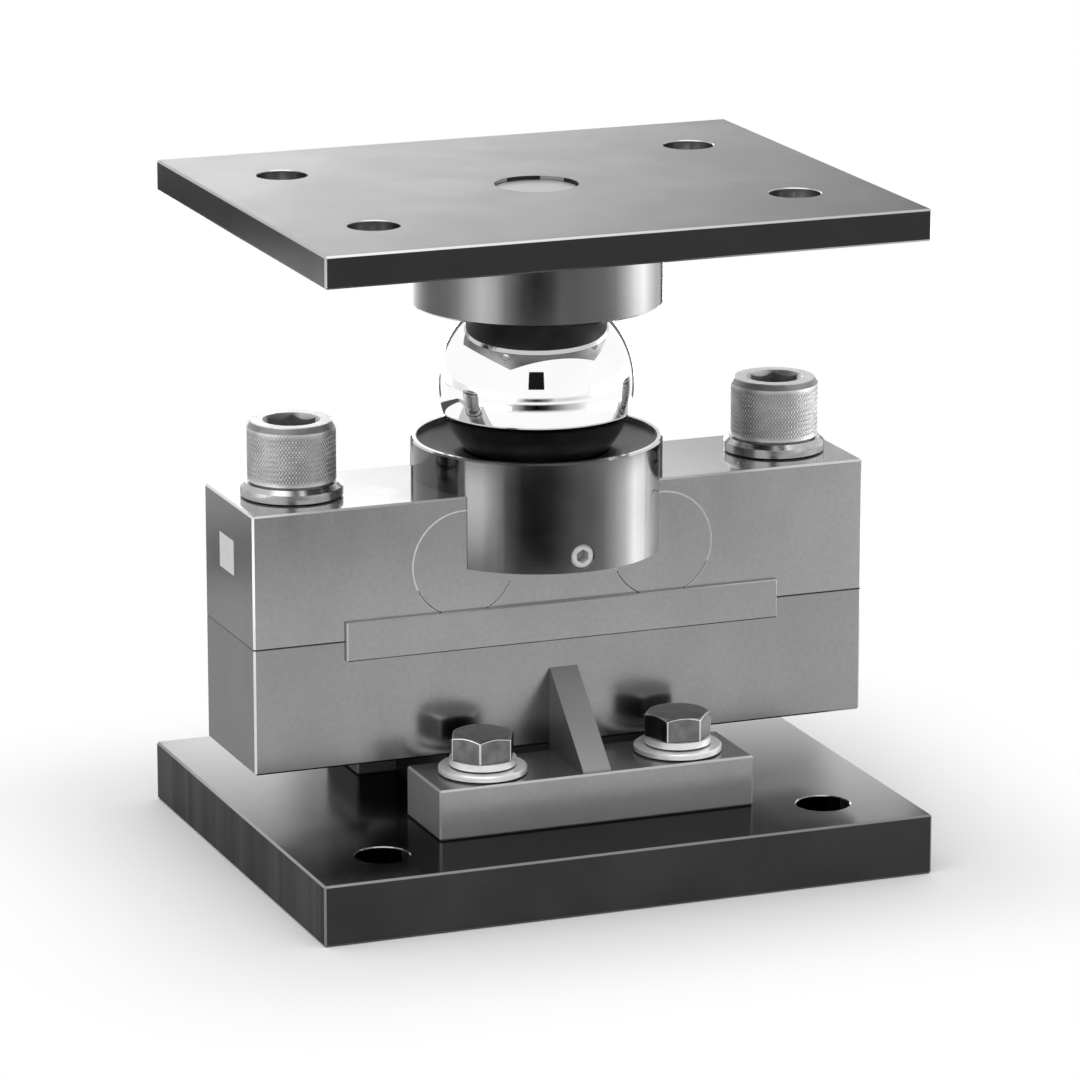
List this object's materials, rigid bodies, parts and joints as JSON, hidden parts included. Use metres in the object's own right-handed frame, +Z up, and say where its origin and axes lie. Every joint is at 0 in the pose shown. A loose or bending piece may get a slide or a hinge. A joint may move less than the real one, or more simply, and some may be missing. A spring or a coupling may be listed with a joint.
{
  "type": "double ended beam load cell",
  "caption": "Double ended beam load cell on a bolted support block, loaded through a steel ball between a saddle cup and an upper cup, with a drilled plate at top and bottom.",
  "frame": {"origin": "middle of the base plate's underside", "axes": "+X along the beam, -Y towards the front, +Z up along the ball and cup axis"},
  "size_m": [0.2653, 0.214, 0.2748],
  "materials": {
    "plate_steel": "oiled satin steel plate with ground edges",
    "plated_steel": "satin plated steel",
    "turned_steel": "polished turned steel",
    "ball_steel": "mirror polished bearing steel",
    "zinc_fastener": "zinc plated, knurled head",
    "bright_washer": "bright zinc plated",
    "dark_bolt": "dark satin steel with bright edges",
    "label_foil": "plain satin foil",
    "gauge_foil": "amber film",
    "board": "green laminate",
    "gland_brass": "nickel plated brass",
    "gland_rubber": "black rubber"
  },
  "bodies": {
    "root": {"base_plate": "plate_steel", "top_plate": "plate_steel", "pedestal": "plated_steel", "support_block": "plated_steel", "front_foot_bar": "plated_steel", "rear_foot_bar": "plated_steel", "front_gusset": "plated_steel", "rear_gusset": "plated_steel", "front_gap_cover": "plated_steel", "rear_gap_cover": "plated_steel", "beam_body": "plated_steel", "front_left_cavity_cover": "plated_steel", "front_right_cavity_cover": "plated_steel", "rear_left_cavity_cover": "plated_steel", "rear_right_cavity_cover": "plated_steel", "saddle_cup": "turned_steel", "upper_cup": "turned_steel", "ball": "ball_steel", "cap_screws": "zinc_fastener", "cup_set_screws": "zinc_fastener", "cap_screw_washers": "bright_washer", "foot_spring_washers": "bright_washer", "foot_flat_washers": "bright_washer", "foot_bolts": "dark_bolt", "end_label": "label_foil", "front_left_strain_gauge": "gauge_foil", "front_right_strain_gauge": "gauge_foil", "rear_left_strain_gauge": "gauge_foil", "rear_right_strain_gauge": "gauge_foil", "terminal_board": "board", "gland_body": "gland_brass", "gland_nut": "gland_brass", "gland_seal": "gland_rubber"}
  },
  "joints": []
}
